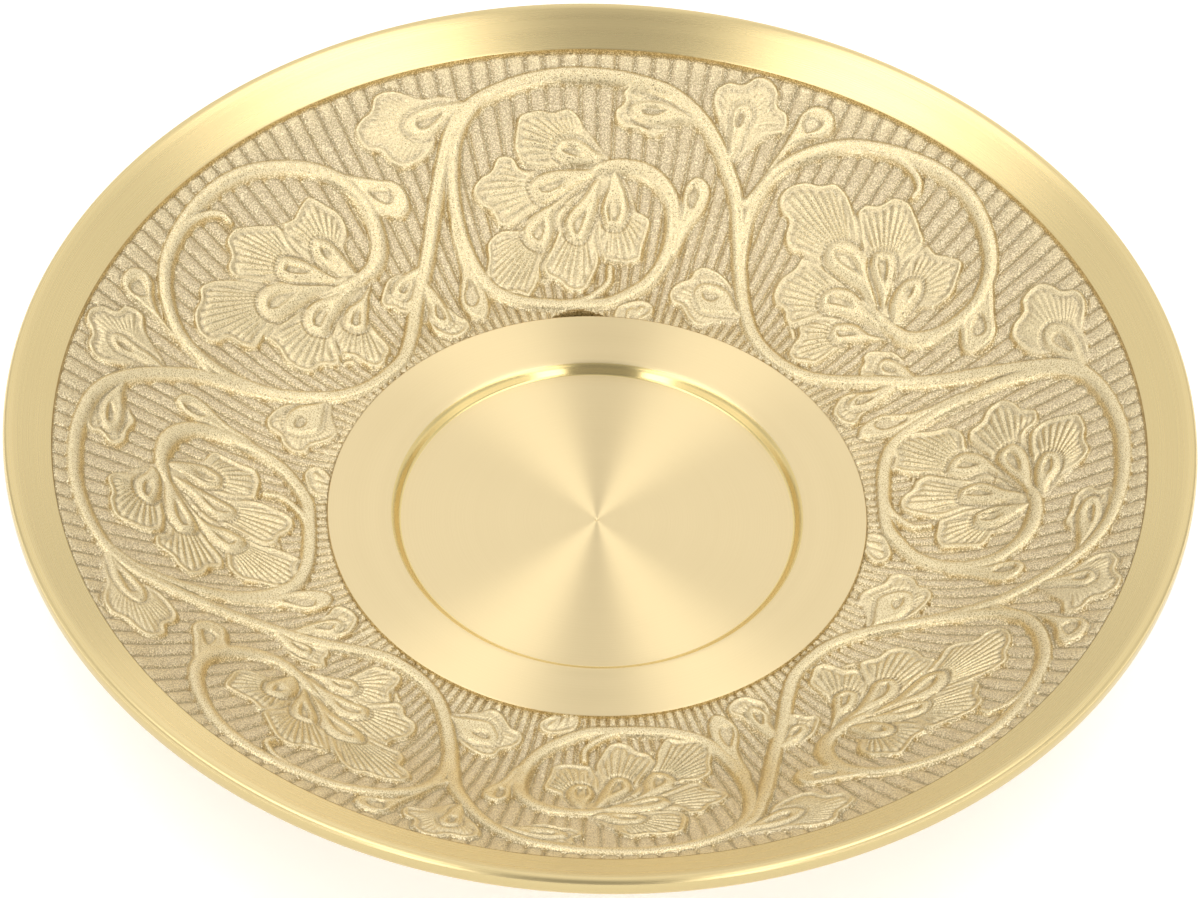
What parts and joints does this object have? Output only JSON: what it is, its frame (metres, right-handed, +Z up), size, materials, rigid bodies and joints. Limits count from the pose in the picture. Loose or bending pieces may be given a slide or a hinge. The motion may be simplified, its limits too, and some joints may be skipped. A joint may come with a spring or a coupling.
{
  "type": "decorative dish",
  "caption": "Round shallow cast brass dish with a turned flared rim, a band of scrolling foliage in relief and a plain turned centre with a shallow recess, on a low foot ring.",
  "frame": {"origin": "on the axis, in the plane that the felt under the foot rests on", "axes": "+Z up out of the dish, +X to the right of the picture, +Y away from the viewer"},
  "size_m": [0.18, 0.18, 0.0284],
  "materials": {
    "cast_brass": "satin cast and turned",
    "turned_brass": "turned",
    "felt": "matt"
  },
  "bodies": {
    "root": {"dish_body": "cast_brass", "foot_ring": "turned_brass", "felt_ring": "felt"}
  },
  "joints": []
}
